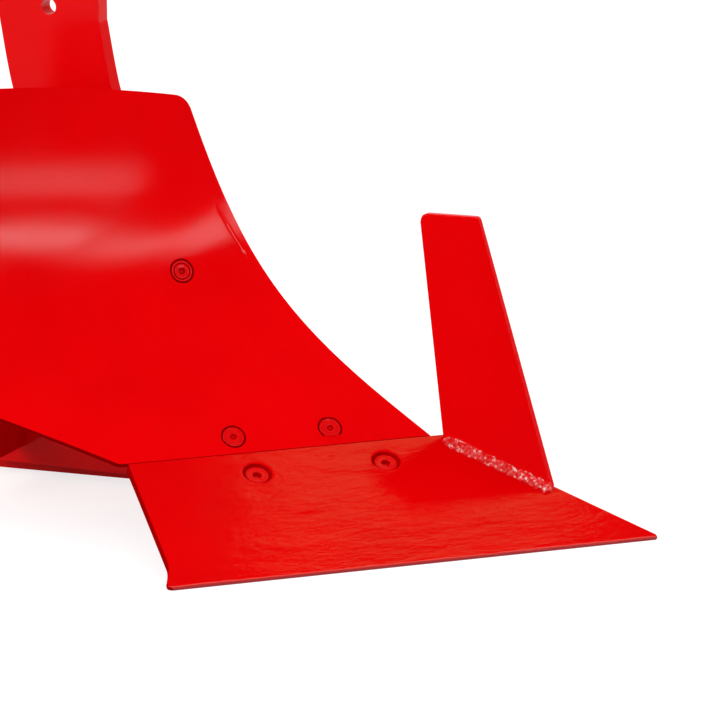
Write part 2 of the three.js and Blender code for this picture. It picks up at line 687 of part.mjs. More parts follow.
function buildLowerStay() {
  const target = moldPoint(SEAM_Z + LOWER_PAD.height, LOWER_PAD.along, 0);
  const low = LOWER_STAY_LOW;
  const high = low + LOWER_STAY_HEIGHT;
  const bend = WELD_PLANE - LOWER_STAY_LEVEL;
  const shape = outline([
    [WELD_PLANE, low],
    [WELD_PLANE, high],
    [bend, high],
    [target.y, target.z + LOWER_STAY_HEIGHT / 2],
    [target.y, target.z - LOWER_STAY_HEIGHT / 2],
    [bend - LOWER_STAY_HEIGHT / 4, low],
  ]);
  const half = LOWER_STAY_WIDTH / 2;
  const bar = prism(shape, -LOWER_STAY_BEHIND - half, -LOWER_STAY_BEHIND + half, crossFrame);
  const stay = bar.subtract(padFront(LOWER_PAD)).add(padPlate(LOWER_PAD));
  return drilled(stay, [padBoltFrame(LOWER_PAD)]);
}

function buildUpperStay() {
  const start = new THREE.Vector3(-UPPER_STAY_BEHIND, LEG_INNER, UPPER_STAY_HEIGHT);
  const padMiddle = MOLD_SEAT_DEPTH + PAD_THICKNESS / 2;
  const end = moldPoint(SEAM_Z + UPPER_PAD.height, UPPER_PAD.along, padMiddle);
  const run = new THREE.Vector3().subVectors(end, start);
  const length = run.length();
  run.normalize();
  const side = new THREE.Vector3().crossVectors(Z_AXIS, run).normalize();
  const up = new THREE.Vector3().crossVectors(run, side);
  const rod = prism(disc(UPPER_STAY_RADIUS), -LEG_THICKNESS, length, frameOf(side, up, run, start));
  const cut = rod.subtract(landOf(WELD_PLANE)).subtract(padFront(UPPER_PAD));
  return drilled(cut.add(padPlate(UPPER_PAD)), [padBoltFrame(UPPER_PAD)]);
}

// ---------------------------------------------------------------------------------------------
// The whole body
// ---------------------------------------------------------------------------------------------

const RED_PAINT = { color: 0xe00006, roughness: 0.3, metalness: 0 };
const body = new THREE.Group();

function add(name, solid) {
  const mesh = new THREE.Mesh(geometryOf(solid), new THREE.MeshStandardMaterial(RED_PAINT));
  mesh.name = name;
  body.add(mesh);
}

function addBolt(name, frame, grip) {
  add(`${name}_bolt`, bolt(frame, grip));
  add(`${name}_nut`, nut(frame, grip));
}

add('share', buildShare());
add('share_fin', buildFin());
add('fin_weld', buildFinWeld());
add('moldboard', buildMoldboard());
add('frog', buildFrog());
add('frog_web', buildFrogWeb());
add('upper_bracket', buildBracket());
add('leg', buildLeg());
add('landside', buildLandside());
add('heel_plate', buildHeel());
add('lower_stay', buildLowerStay());
add('upper_stay', buildUpperStay());

const shareGrip = FROG_UNDERSIDE + GAP - SHARE_BOLT_SINK;
const frogGrip = MOLD_SEAT_DEPTH + FROG_MOLD_SEAT + GAP;
const bracketGrip = MOLD_SEAT_DEPTH + BRACKET_THICKNESS + GAP;
const padGrip = MOLD_SEAT_DEPTH + PAD_THICKNESS + GAP;
const legGrip = -WELD_PLANE;
const heelGrip = -LEG_OUTER + HEEL_THICKNESS + GAP;

addBolt('share_front', shareBoltFrames[0], shareGrip);
addBolt('share_rear', shareBoltFrames[1], shareGrip);
addBolt('moldboard_front', lowerBoltFrames[0], frogGrip);
addBolt('moldboard_rear', lowerBoltFrames[1], frogGrip);
addBolt('moldboard_upper', upperBoltFrame, bracketGrip);
addBolt('lower_stay', padBoltFrame(LOWER_PAD), padGrip);
addBolt('upper_stay', padBoltFrame(UPPER_PAD), padGrip);
addBolt('landside_front', landsideBoltFrames[0], legGrip);
addBolt('landside_middle', landsideBoltFrames[1], legGrip);
addBolt('landside_rear', landsideBoltFrames[2], legGrip);
addBolt('heel_rear', heelBoltFrames[1], heelGrip);
addBolt('heel_front', heelBoltFrames[0], heelGrip);

// The origin is under the middle of the whole body, on the ground
const bounds = new THREE.Box3().setFromObject(body);
const middle = bounds.getCenter(new THREE.Vector3());
body.position.set(-middle.x, -middle.y, -bounds.min.z);

export default body;
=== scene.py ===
"""Looks of a plough body: glossy red paint on plate steel, with its weld, bolts and paint marks.

Places on the body are in millimetres from the tip of the share, on the ground: +X forward, +Y to
the land side, +Z up. place() turns them into the frame's metres.
"""
from math import atan2, cos, exp, pi, radians, sin, sqrt, tan, tanh

import bmesh
import bpy
from mathutils import Matrix, Vector, noise


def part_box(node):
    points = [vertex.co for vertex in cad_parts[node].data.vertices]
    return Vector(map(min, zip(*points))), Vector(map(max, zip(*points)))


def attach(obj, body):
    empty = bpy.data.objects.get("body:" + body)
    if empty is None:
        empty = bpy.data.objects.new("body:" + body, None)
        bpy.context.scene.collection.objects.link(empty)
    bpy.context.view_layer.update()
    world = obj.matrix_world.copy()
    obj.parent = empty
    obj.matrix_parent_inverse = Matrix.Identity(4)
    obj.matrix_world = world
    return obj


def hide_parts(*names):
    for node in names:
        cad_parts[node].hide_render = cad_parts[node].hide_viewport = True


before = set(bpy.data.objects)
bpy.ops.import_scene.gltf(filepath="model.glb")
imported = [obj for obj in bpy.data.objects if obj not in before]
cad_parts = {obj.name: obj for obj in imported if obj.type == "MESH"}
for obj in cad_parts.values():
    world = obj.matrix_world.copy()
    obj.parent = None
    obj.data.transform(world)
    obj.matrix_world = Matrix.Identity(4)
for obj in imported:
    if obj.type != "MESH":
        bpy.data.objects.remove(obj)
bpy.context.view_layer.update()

BODY = "root"

share_low, share_high = (Vector(corner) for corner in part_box("share"))
MM = 0.001
TIP_BLUNT = 4
TIP = Vector((share_high.x + TIP_BLUNT * MM, share_high.y, share_low.z))


def place(point):
    return TIP + Vector(point) * MM


# ------------------------------------------------------------------------------------------------
# Sizes, as in the CAD model
# ------------------------------------------------------------------------------------------------

SHARE_ANGLE = radians(43)
SHARE_PITCH = radians(27)
SHARE_SLOPE = 179.5
SHARE_THICKNESS = 12
EDGE_HEIGHT = 3.6
CUT_WIDTH = 353
WING_FLARE = 9.4
WING_FLARE_RISE = 36
WING_CORNER = 4
SHARE_BOLTS = {"share_front": 245.3, "share_rear": 382.3}  # along the edge from the tip
SHARE_BOLTS_UP = 148.5
SHARE_BOLT_SINK = 2.5

FIN_THICKNESS = 8
FIN_FOOT_FRONT = 114.6
FIN_FOOT_REAR = 232.6
FIN_TOP_FRONT = 210.2
FIN_TOP_REAR = 271.5
FIN_TOP_HEIGHT = 307.8
FIN_LEAN = 0.15
FIN_CORNER = 8

MOLD_THICKNESS = 6
SEAM_GAP = 0.6
SHIN_INSET = 10
SHIN_SWEEP = 165
SHIN_SWEEP_HEIGHT = 139
SHIN_LEAN = 0.327
SHIN_HEIGHT = 327
MOLD_TWIST = radians(10)
TWIST_POWER = 1.3
MOLD_LENGTH = 660
TOP_START = 332
TOP_CLIMB = 0.195
TOP_FALL = 0.00035
SHIN_CORNER = 12
TAIL_CORNER = 40
TAIL_RISE = 300
TAIL_REACH = 350
SEAM_LENGTH = 330
# Height over the seam, and distance from the shin
MOLD_BOLTS = {
    "moldboard_front": (14, 88),
    "moldboard_rear": (14, 191),
    "moldboard_upper": (163, 86),
}

HEAD_RADIUS = 11.7
HOLE_RADIUS = 12.5
SHANK_RADIUS = 6
SHANK_HOLE_RADIUS = 6.5
SHARE_BOLT_LENGTH = 33.4
SEAM_BOLT_LENGTH = 31.6
UPPER_BOLT_LENGTH = 29.6

EDGE_LENGTH = CUT_WIDTH / sin(SHARE_ANGLE)
SEAM_UP = SHARE_SLOPE + SEAM_GAP
SEAM_BACK = SEAM_UP * cos(SHARE_PITCH)
SEAM_Z = EDGE_HEIGHT + SEAM_UP * sin(SHARE_PITCH)

ALONG_EDGE = Vector((-cos(SHARE_ANGLE), -sin(SHARE_ANGLE), 0))
LEVEL_BACK = Vector((-sin(SHARE_ANGLE), cos(SHARE_ANGLE), 0))
UP_SLOPE = LEVEL_BACK * cos(SHARE_PITCH) + Vector((0, 0, sin(SHARE_PITCH)))
INTO_SHARE = ALONG_EDGE.cross(UP_SLOPE)


# ------------------------------------------------------------------------------------------------
# Materials
# ------------------------------------------------------------------------------------------------

def link(tree, source, output, target, socket):
    tree.links.new(source.outputs[output], target.inputs[socket])


def noise_node(tree, coords, scale, detail=2.0, roughness=0.5):
    made = tree.nodes.new("ShaderNodeTexNoise")
    made.inputs["Scale"].default_value = scale
    made.inputs["Detail"].default_value = detail
    made.inputs["Roughness"].default_value = roughness
    link(tree, coords, "Object", made, "Vector")
    return made


def bump_node(tree, source, strength, distance, normal=None):
    made = tree.nodes.new("ShaderNodeBump")
    made.inputs["Strength"].default_value = strength
    made.inputs["Distance"].default_value = distance
    link(tree, source, "Fac", made, "Height")
    if normal:
        link(tree, normal, "Normal", made, "Normal")
    return made


def math_node(tree, operation):
    made = tree.nodes.new("ShaderNodeMath")
    made.operation = operation
    return made


def map_range(tree, source, output, low, high, to_low, to_high):
    made = tree.nodes.new("ShaderNodeMapRange")
    made.inputs["From Min"].default_value = low
    made.inputs["From Max"].default_value = high
    made.inputs["To Min"].default_value = to_low
    made.inputs["To Max"].default_value = to_high
    link(tree, source, output, made, "Value")
    return made


# Depths of the paint's unevenness, in metres
PEEL_DEPTH = 0.00035
FINE_DEPTH = 0.0001
MARK_DEPTH = 0.0010
MARK_STRETCH = 3.2


def paint(name, red, gloss=0.07, peel=0.15, specular=0.075, marked=0.0):
    """Sprayed gloss enamel: orange peel, fine grain, faint drift of colour and gloss.
    marked is how strongly the rolling marks of the plate, along the share's edge, show through."""
    material = bpy.data.materials.new(name)
    material.use_nodes = True
    tree = material.node_tree
    shader = tree.nodes["Principled BSDF"]
    coords = tree.nodes.new("ShaderNodeTexCoord")

    drift = noise_node(tree, coords, 9, 3)
    ramp = tree.nodes.new("ShaderNodeValToRGB")
    ramp.color_ramp.elements[0].position = 0.3
    ramp.color_ramp.elements[0].color = (red[0] * 0.94, red[1], red[2], 1)
    ramp.color_ramp.elements[1].position = 0.7
    ramp.color_ramp.elements[1].color = (red[0] * 1.03, red[1], red[2], 1)
    link(tree, drift, "Fac", ramp, "Fac")
    link(tree, ramp, "Color", shader, "Base Color")

    haze = noise_node(tree, coords, 28, 4, 0.6)
    rough = map_range(tree, haze, "Fac", 0.3, 0.7, gloss * 0.8, gloss * 1.3)
    link(tree, rough, "Result", shader, "Roughness")

    marks_bump = None
    if marked:
        turned = tree.nodes.new("ShaderNodeMapping")
        turned.vector_type = "TEXTURE"
        turned.inputs["Rotation"].default_value = (0, 0, SHARE_ANGLE)
        turned.inputs["Scale"].default_value = (MARK_STRETCH, 1, 1)
        link(tree, coords, "Object", turned, "Vector")
        marks = noise_node(tree, coords, 38, 5, 0.68)
        link(tree, turned, "Vector", marks, "Vector")
        marks_bump = bump_node(tree, marks, marked, MARK_DEPTH)
    peel_wave = noise_node(tree, coords, 210, 3.5, 0.65)
    fine_wave = noise_node(tree, coords, 900, 1.0)
    peel_bump = bump_node(tree, peel_wave, peel, PEEL_DEPTH, marks_bump)
    fine_bump = bump_node(tree, fine_wave, peel * 0.5, FINE_DEPTH, peel_bump)
    link(tree, fine_bump, "Normal", shader, "Normal")

    shader.inputs["Specular IOR Level"].default_value = specular
    return material


ARRIS_HIGHLIGHT_REACH = 0.7  # how far the painted highlight along the arris reaches over the edge, in millimetres
EDGE_LIGHT_WANDER = 1.6  # how far the border of the painted highlight and shade wanders
# Painted shade on the cutting edge's front face, and painted highlight along its arris
FRONT_PAINTED_SHADE = (0.46, 0.032, 0.033)
ARRIS_PAINTED_HIGHLIGHT = (0.80, 0.062, 0.050)


def paint_edge_light(material):
    """Paints light onto a share's cutting edge: a painted highlight along its arris, and painted
    shade, a dull grey red, on the face in front.
    """
    tree = material.node_tree
    shader = tree.nodes["Principled BSDF"]
    coat = shader.inputs["Base Color"].links[0].from_node
    coords = tree.nodes.new("ShaderNodeTexCoord")
    split = tree.nodes.new("ShaderNodeSeparateXYZ")
    link(tree, coords, "Object", split, "Vector")
    patchy = noise_node(tree, coords, 60, 3)
    raised = math_node(tree, "MULTIPLY_ADD")
    raised.inputs[1].default_value = EDGE_LIGHT_WANDER * MM
    link(tree, patchy, "Fac", raised, 0)
    link(tree, split, "Z", raised, 2)
    foot = share_low.z + (EDGE_HEIGHT + EDGE_LIGHT_WANDER / 2) * MM
    height = map_range(tree, raised, 0, foot - EDGE_HEIGHT * MM, foot + 2 * ARRIS_HIGHLIGHT_REACH * MM, 0, 1)
    arris = EDGE_HEIGHT / (EDGE_HEIGHT + 2 * ARRIS_HIGHLIGHT_REACH)
    ramp = tree.nodes.new("ShaderNodeValToRGB")
    stops = ramp.color_ramp.elements
    stops[0].position, stops[0].color = arris - 0.02, (*FRONT_PAINTED_SHADE, 1)
    stops[1].position, stops[1].color = arris + 0.04, (*ARRIS_PAINTED_HIGHLIGHT, 1)
    stops.new(arris + 0.1).color = (*ARRIS_PAINTED_HIGHLIGHT, 1)
    stops.new(0.9).color = (*ARRIS_PAINTED_HIGHLIGHT, 0)
    link(tree, height, "Result", ramp, "Fac")
    mix = tree.nodes.new("ShaderNodeMix")
    mix.data_type = "RGBA"
    colours = [socket for socket in mix.inputs if socket.type == "RGBA"]
    link(tree, ramp, "Alpha", mix, "Factor")
    tree.links.new(coat.outputs["Color"], colours[0])
    tree.links.new(ramp.outputs["Color"], colours[1])
    mixed = next(socket for socket in mix.outputs if socket.type == "RGBA")
    tree.links.new(mixed, shader.inputs["Base Color"])


def paint_weld_glints(material):
    """Painted glints: pale, bright flecks in the colour of a weld's paint, standing in for the
    light glinting on its ripples.
    """
    tree = material.node_tree
    shader = tree.nodes["Principled BSDF"]
    ramp = shader.inputs["Base Color"].links[0].from_node
    flecks = ramp.inputs["Fac"].links[0].from_node
    flecks.inputs["Scale"].default_value = 260
    flecks.inputs["Detail"].default_value = 3
    stops = ramp.color_ramp.elements
    stops[0].position, stops[0].color = 0.44, (0.76, 0.002, 0.003, 1)
    stops[1].position, stops[1].color = 0.59, (0.82, 0.075, 0.07, 1)
    stops.new(0.66).color = (0.95, 0.62, 0.60, 1)


RED = (0.79, 0.0, 0.0012)
plate_paint = paint("plate_paint", RED)
# The paint run is coloured pale as a painted highlight, the glint along its ridge
run_painted_highlight = paint("run_painted_highlight", (0.84, 0.09, 0.085), gloss=0.12, specular=0.5)
# Painted shade: a dark red without reflection for hole walls, recesses and the undersides of edges,
# where shade falls
painted_shade = paint("painted_shade", (0.40, 0.0, 0.0006), gloss=0.3, specular=0.0)
# The share's red is darker than the plate's, as painted shade against the stronger light on the
# share
share_paint = paint("share_paint", (0.69, 0.0, 0.0008), peel=0.16, marked=0.7)
# Painted highlight and painted shade along the share's cutting edge
paint_edge_light(share_paint)
bolt_paint = paint("bolt_paint", (0.72, 0.0, 0.001), gloss=0.14, peel=1.0, specular=0.2)
# The weld's paint carries painted glints
weld_paint = paint("weld_paint", (0.78, 0.0, 0.001), gloss=0.10, peel=0.9, specular=0.5)
paint_weld_glints(weld_paint)


# ------------------------------------------------------------------------------------------------
# Meshes
# ------------------------------------------------------------------------------------------------

def finish_mesh(name, mesh, material, replaced, crease_angle=35):
    mesh.validate()
    for face in mesh.polygons:
        face.use_smooth = True
    mesh.set_sharp_from_angle(angle=radians(crease_angle))
    mesh.materials.clear()
    mesh.materials.append(material)
    piece = bpy.data.objects.new(name, mesh)
    bpy.context.scene.collection.objects.link(piece)
    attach(piece, BODY)
    if replaced:
        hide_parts(*replaced)
    return piece


def mesh_from(name, points, faces):
    mesh = bpy.data.meshes.new(name)
    mesh.from_pydata([place(point) for point in points], [], faces)
    return mesh


LOCATE_STEPS = 4
# Rings of the plate's faces around a hole, as multiples of its rim's radius, in front and behind
FRONT_RINGS = (1.22, 1.09)
BACK_RING = 1.5


class Plate:
    """A plate as a grid over two of its own coordinates, with round holes set into the grid.

    point(a, b, depth) gives a place on the plate, and grid[i][j] the (a, b) of a grid corner. The
    front is at depth 0 and the back at back_depth(a, b). The numbers of the faces on hole walls,
    on the wall of the last column, on the wall of the first row and on a paint run, which
    on_run(a, b) picks, are kept in walls, far_end, low_side and run."""

    def __init__(self, point, grid, back_depth, on_run=None):
        self.point = point
        self.grid = grid
        self.back_depth = back_depth
        self.on_run = on_run
        self.points = []
        self.faces = []
        self.front = {}
        self.back = {}
        self.cut = set()
        self.walls = []
        self.far_end = []
        self.low_side = []
        self.run = []

    def add(self, place_in_mm):
        self.points.append(place_in_mm)
        return len(self.points) - 1

    def corner(self, i, j, back):
        table = self.back if back else self.front
        if (i, j) not in table:
            a, b = self.grid[i][j]
            depth = self.back_depth(a, b) if back else 0
            table[i, j] = self.add(self.point(a, b, depth))
        return table[i, j]

    def locate(self, origin, side, up, x, y, start):
        """The (a, b) whose front point lies x along side and y along up from origin."""
        a, b = start
        for _ in range(LOCATE_STEPS):
            here = self.point(a, b, 0) - origin
            da = self.point(a + 0.5, b, 0) - self.point(a - 0.5, b, 0)
            db = self.point(a, b + 0.5, 0) - self.point(a, b - 0.5, 0)
            miss_x, miss_y = x - here.dot(side), y - here.dot(up)
            det = da.dot(side) * db.dot(up) - da.dot(up) * db.dot(side)
            a += (miss_x * db.dot(up) - miss_y * db.dot(side)) / det
            b += (miss_y * da.dot(side) - miss_x * da.dot(up)) / det
        return a, b

    def hole(self, a0, b0, profile, reach):
        """Cuts a hole whose wall follows profile, (radius, depth) pairs from front to back. The
        grid cells within reach of the centre give way to rings."""
        origin = self.point(a0, b0, 0)
        into = (self.point(a0, b0, 1) - origin).normalized()
        side = (self.point(a0 + 1, b0, 0) - origin).normalized()
        up = into.cross(side)

        def offset(i, j):
            here = self.point(*self.grid[i][j], 0) - origin
            return here.dot(side), here.dot(up)

        inside = [
            (i, j)
            for i in range(len(self.grid))
            for j in range(len(self.grid[0]))
            if max(abs(value) for value in offset(i, j)) < reach
        ]
        i0, i1 = min(i for i, _ in inside), max(i for i, _ in inside)
        j0, j1 = min(j for _, j in inside), max(j for _, j in inside)
        self.cut.update((i, j) for i in range(i0, i1) for j in range(j0, j1))
        rim = [(i0, j) for j in range(j0, j1)] + [(i, j1) for i in range(i0, i1)]
        rim += [(i1, j) for j in range(j1, j0, -1)] + [(i, j0) for i in range(i1, i0, -1)]
        angles = [atan2(*reversed(offset(i, j))) for i, j in rim]

        def loop(radius, depth, on_face, back):
            made = []
            for angle in angles:
                x, y = radius * cos(angle), radius * sin(angle)
                if on_face:
                    a, b = self.locate(origin, side, up, x, y, (a0, b0))
                    at = self.back_depth(a, b) if back else depth
                    made.append(self.add(self.point(a, b, at)))
                else:
                    made.append(self.add(origin + side * x + up * y + into * depth))
            return made

        loops = [[self.corner(i, j, False) for i, j in rim]]
        first, last = profile[0][0], profile[-1][0]
        loops += [loop(first * grow, 0, True, False) for grow in FRONT_RINGS]
        loops.append(loop(first, 0, True, False))
        wall_start = len(loops)
        loops += [loop(radius, depth, False, False) for radius, depth in profile[1:-1]]
        wall_end = len(loops)
        loops.append(loop(last, 0, True, True))
        loops.append(loop(last * BACK_RING, 0, True, True))
        loops.append([self.corner(i, j, True) for i, j in rim])
        count = len(rim)
        for step, (outer, inner) in enumerate(zip(loops, loops[1:])):
            for k in range(count):
                m = (k + 1) % count
                if wall_start <= step < wall_end:
                    self.walls.append(len(self.faces))
                self.faces.append((outer[k], outer[m], inner[m], inner[k]))

    def build(self):
        """Closes the sheets and walls, and returns points, faces and the rim's point pairs."""
        wide, high = len(self.grid) - 1, len(self.grid[0]) - 1
        for i in range(wide):
            for j in range(high):
                if (i, j) in self.cut:
                    continue
                cell = [(i, j), (i, j + 1), (i + 1, j + 1), (i + 1, j)]
                if self.on_run and self.on_run(*self.grid[i][j]):
                    self.run.append(len(self.faces))
                self.faces.append(tuple(self.corner(*c, False) for c in cell))
                self.faces.append(tuple(self.corner(*c, True) for c in reversed(cell)))
        rim = [(0, j) for j in range(high)] + [(i, high) for i in range(wide)]
        rim += [(wide, j) for j in range(high, 0, -1)] + [(i, 0) for i in range(wide, 0, -1)]
        pairs = []
        for start, end in zip(rim, rim[1:] + rim[:1]):
            quad = (
                self.corner(*end, False), self.corner(*start, False),
                self.corner(*start, True), self.corner(*end, True),
            )
            if start[0] == end[0] == wide:
                self.far_end.append(len(self.faces))
            if start[1] == end[1] == 0:
                self.low_side.append(len(self.faces))
            self.faces.append(quad)
            pairs += [frozenset(quad[:2]), frozenset(quad[2:])]
        corners = [(0, 0), (0, high), (wide, high), (wide, 0)]
        pairs += [frozenset((self.corner(*c, False), self.corner(*c, True))) for c in corners]
        return self.points, self.faces, set(pairs)


def paint_faces(piece, material, faces):
    piece.data.materials.append(material)
    for index in faces:
        piece.data.polygons[index].material_index = len(piece.data.materials) - 1


CRISP = 0.3  # how far a crisp edge is rounded, as a share of the rest


def round_rim(piece, pairs, width, points, crisp):
    """Rounds the rim edges, given as pairs of point indices, and those that crisp() picks less."""
    mesh = piece.data
    weights = mesh.attributes.new("bevel_weight_edge", "FLOAT", "EDGE")
    for edge in mesh.edges:
        if frozenset(edge.vertices) in pairs:
            sharper = all(crisp(points[index]) for index in edge.vertices)
            weights.data[edge.index].value = CRISP if sharper else 1.0
    bevel = piece.modifiers.new("rim", "BEVEL")
    bevel.limit_method = "WEIGHT"
    bevel.width = width * MM
    bevel.segments = 3
    bevel.harden_normals = True
    bevel.use_clamp_overlap = True


# ------------------------------------------------------------------------------------------------
# Share
# ------------------------------------------------------------------------------------------------

def share_point(along, up, depth):
    point = ALONG_EDGE * along + UP_SLOPE * up + INTO_SHARE * depth
    point.z += EDGE_HEIGHT
    return point


def corner_drop(inside, radius):
    return radius - sqrt(radius ** 2 - (radius - inside) ** 2) if inside < radius else 0


def wing_end(up):
    """Distance along the edge where the share's wing ends, at a distance up the slope."""
    flare = WING_FLARE * (1 + cos(pi * min(up / WING_FLARE_RISE, 1))) / 2
    return EDGE_LENGTH - WING_FLARE + flare - corner_drop(up, WING_CORNER)


def land_end(up, depth):
    """Distance along the edge where the share ends at the land side or at its blunt tip."""
    back = up * cos(SHARE_PITCH) + depth * sin(SHARE_PITCH)
    land = back / tan(SHARE_ANGLE)
    blunt = (TIP_BLUNT - sin(SHARE_ANGLE) * back) / cos(SHARE_ANGLE)
    return max(land, blunt)


def share_depth(up):
    """Thickness of the share at a distance up its slope, where the ground cuts its lower side."""
    return min(SHARE_THICKNESS, (EDGE_HEIGHT + up * sin(SHARE_PITCH)) / cos(SHARE_PITCH))


SOLE = 10  # height up the slope of the rows by the cutting edge
SHARE_ROWS = 46
SHARE_COLUMNS = 130
SHARE_RIM = 1.4
RECESS_REACH = 21
# Steps of a bolt's recess in the share: radius over the hole's, and depth
RECESS_RIM = [(3.2, 0), (2.4, 0.25), (1.8, 1.0)]
# The same, with the depth under the bolt's head
RECESS_FLOOR = [(1.4, 0), (0.9, 0.7), (0.1, 1.0)]
SHARE_CONE_DEPTH = 6.6


def build_share():
    rows = [0, 2, 4, 7]
    rows += [SOLE + (SHARE_SLOPE - SOLE) * k / SHARE_ROWS for k in range(SHARE_ROWS + 1)]

    # The grid's first coordinate counts columns from the land side to the wing's end
    def point(a, up, depth):
        if depth > 0 and up < SOLE:
            up -= EDGE_HEIGHT * sin(SHARE_PITCH) * (1 - up / SOLE)
            depth = share_depth(up)
        start = land_end(up, depth)
        along = start + (a / SHARE_COLUMNS) * (wing_end(max(up, 0)) - start)
        return share_point(along, up, depth)

    grid = [[(a, up) for up in rows] for a in range(SHARE_COLUMNS + 1)]
    plate = Plate(point, grid, lambda a, up: share_depth(up))
    sink = SHARE_BOLT_SINK
    profile = [(HOLE_RADIUS + wider, depth) for wider, depth in RECESS_RIM]
    profile += [(HOLE_RADIUS + wider, sink + depth) for wider, depth in RECESS_FLOOR]
    profile += [(SHANK_HOLE_RADIUS, sink + SHARE_CONE_DEPTH), (SHANK_HOLE_RADIUS, SHARE_THICKNESS)]
    for along in SHARE_BOLTS.values():
        start = land_end(SHARE_BOLTS_UP, 0)
        a = SHARE_COLUMNS * (along - start) / (wing_end(SHARE_BOLTS_UP) - start)
        plate.hole(a, SHARE_BOLTS_UP, profile, RECESS_REACH)
    points, faces, rim = plate.build()
    mesh = mesh_from("share_plate", points, faces)
    piece = finish_mesh("share_plate", mesh, share_paint, ["share"])
    # Painted shade on the hole walls and on the wing's end face
    paint_faces(piece, painted_shade, plate.walls + plate.far_end)
    round_rim(piece, rim, SHARE_RIM, points, lambda spot: spot.dot(LEVEL_BACK) > SEAM_BACK - 6)


# ------------------------------------------------------------------------------------------------
# Moldboard
# ------------------------------------------------------------------------------------------------

def shin_x(z):
    height = z - SEAM_Z
    foot = (-SHIN_INSET * cos(SHARE_ANGLE) - SEAM_BACK) / sin(SHARE_ANGLE)
    return foot - SHIN_SWEEP * tanh(height / SHIN_SWEEP_HEIGHT) - SHIN_LEAN * height


def face_point(along, z):
    angle = SHARE_ANGLE + MOLD_TWIST * (max(z - SEAM_Z, 0) / SHIN_HEIGHT) ** TWIST_POWER
    return Vector((shin_x(z) - along * cos(angle), -SHIN_INSET - along * sin(angle), z))


def into_mold(along, z):
    side = face_point(along + 0.5, z) - face_point(along - 0.5, z)
    up = face_point(along, z + 0.5) - face_point(along, z - 0.5)
    return side.cross(up).normalized()


def top_edge(along):
    curve = SEAM_Z + TOP_START + TOP_CLIMB * along - TOP_FALL * along ** 2
    return curve - corner_drop(along, SHIN_CORNER) - corner_drop(MOLD_LENGTH - along, TAIL_CORNER)


def low_edge(along):
    rise = TAIL_RISE * (1 - exp(-max(along - SEAM_LENGTH, 0) / TAIL_REACH))
    return SEAM_Z + rise + corner_drop(MOLD_LENGTH - along, TAIL_CORNER)


# A run in the paint beside the shin: height and distance from the shin of its ends, and how far it
# stands proud
RUN_TOP, RUN_FOOT = (302, 13.4), (260.5, 9.6)
RUN_HEIGHT = 0.8


def run_middle(z):
    """How far down the paint run a height is, from 0 to 1, and the run's middle there."""
    t = (RUN_TOP[0] - z) / (RUN_TOP[0] - RUN_FOOT[0])
    return t, RUN_TOP[1] + (RUN_FOOT[1] - RUN_TOP[1]) * t


def paint_run(along, z):
    """Height of the paint run at a place on the moldboard's face."""
    t, middle = run_middle(z)
    if not -0.2 < t < 1.1:
        return 0
    width = 0.75 + 0.35 * max(1 - t, 0)
    fade = min(1, max(0, (t + 0.2) / 0.3)) * min(1, max(0, (1.1 - t) / 0.06))
    ridge = exp(-((along - middle) / width) ** 2)
    trough = 0.25 * exp(-((along - middle + 2 * width) / width) ** 2)
    return RUN_HEIGHT * fade * (ridge - trough)


def on_run(along, z):
    """Whether a place lies on the run's thick lower part, or on the bead that it ends in."""
    t, middle = run_middle(z)
    reach = 0.55 if t < 0.97 else 1.4
    return 0.35 < t < 1.06 and abs(along + 0.3 - middle) < reach


def panel_wave(along, z):
    """Slow unevenness of the pressed plate."""
    return 0.05 * noise.noise(Vector((along / 95, z / 60, 3.7)))


def mold_point(along, z, depth):
    proud = paint_run(along, z) if depth == 0 else 0
    return face_point(along, z) + into_mold(along, z) * (depth - proud + panel_wave(along, z))


def spaced(start, end, step):
    count = max(1, round((end - start) / step))
    return [start + (end - start) * k / count for k in range(count)]


MOLD_ROWS = 92
MOLD_RIM = 1.1
MOLD_CREASE = 50
# Grid columns, as distances from the shin: its corner, then fine ones beside the paint run
CORNER_COLUMNS = [0, 1.5, 3.2, 5]
RUN_COLUMNS = spaced(6.2, 17, 0.55) + spaced(17, 26, 1.8)
FACE_COLUMNS = spaced(26, MOLD_LENGTH - TAIL_CORNER, 3.9)
TAIL_STEPS = (12, 11, 10, 9, 8, 7, 6, 5, 4, 2, 0)  # twelfths of a right angle
# How far the rings around a bolt reach: less beside the seam
SEAM_BOLT_REACH = 14.4
FACE_BOLT_REACH = 18


def build_moldboard():
    tail = [MOLD_LENGTH - TAIL_CORNER * (1 - cos(pi / 24 * k)) for k in TAIL_STEPS]
    grid = []
    for along in CORNER_COLUMNS + RUN_COLUMNS + FACE_COLUMNS + tail:
        low, high = low_edge(along), top_edge(along)
        grid.append([(along, low + (high - low) * j / MOLD_ROWS) for j in range(MOLD_ROWS + 1)])
    plate = Plate(mold_point, grid, lambda a, b: MOLD_THICKNESS, on_run)
    profile = [
        (HOLE_RADIUS + 1.0, 0), (HOLE_RADIUS + 0.5, 0.25), (HOLE_RADIUS + 0.3, 1.4),
        (SHANK_HOLE_RADIUS, MOLD_THICKNESS - 0.2), (SHANK_HOLE_RADIUS, MOLD_THICKNESS),
    ]
    for name, (height, along) in MOLD_BOLTS.items():
        reach = FACE_BOLT_REACH if name == "moldboard_upper" else SEAM_BOLT_REACH
        plate.hole(along, SEAM_Z + height, profile, reach)
    points, faces, rim = plate.build()
    mesh = mesh_from("moldboard_plate", points, faces)
    piece = finish_mesh(
        "moldboard_plate", mesh, plate_paint, ["moldboard"], MOLD_CREASE)
    # Painted shade on the hole walls and on the face of the lower edge
    paint_faces(piece, painted_shade, plate.walls + plate.low_side)
    # Painted highlight on the paint run
    paint_faces(piece, run_painted_highlight, plate.run)
    round_rim(piece, rim, MOLD_RIM, points, lambda spot: spot.z < SEAM_Z + 1)


# ------------------------------------------------------------------------------------------------
# Bolt heads
# ------------------------------------------------------------------------------------------------

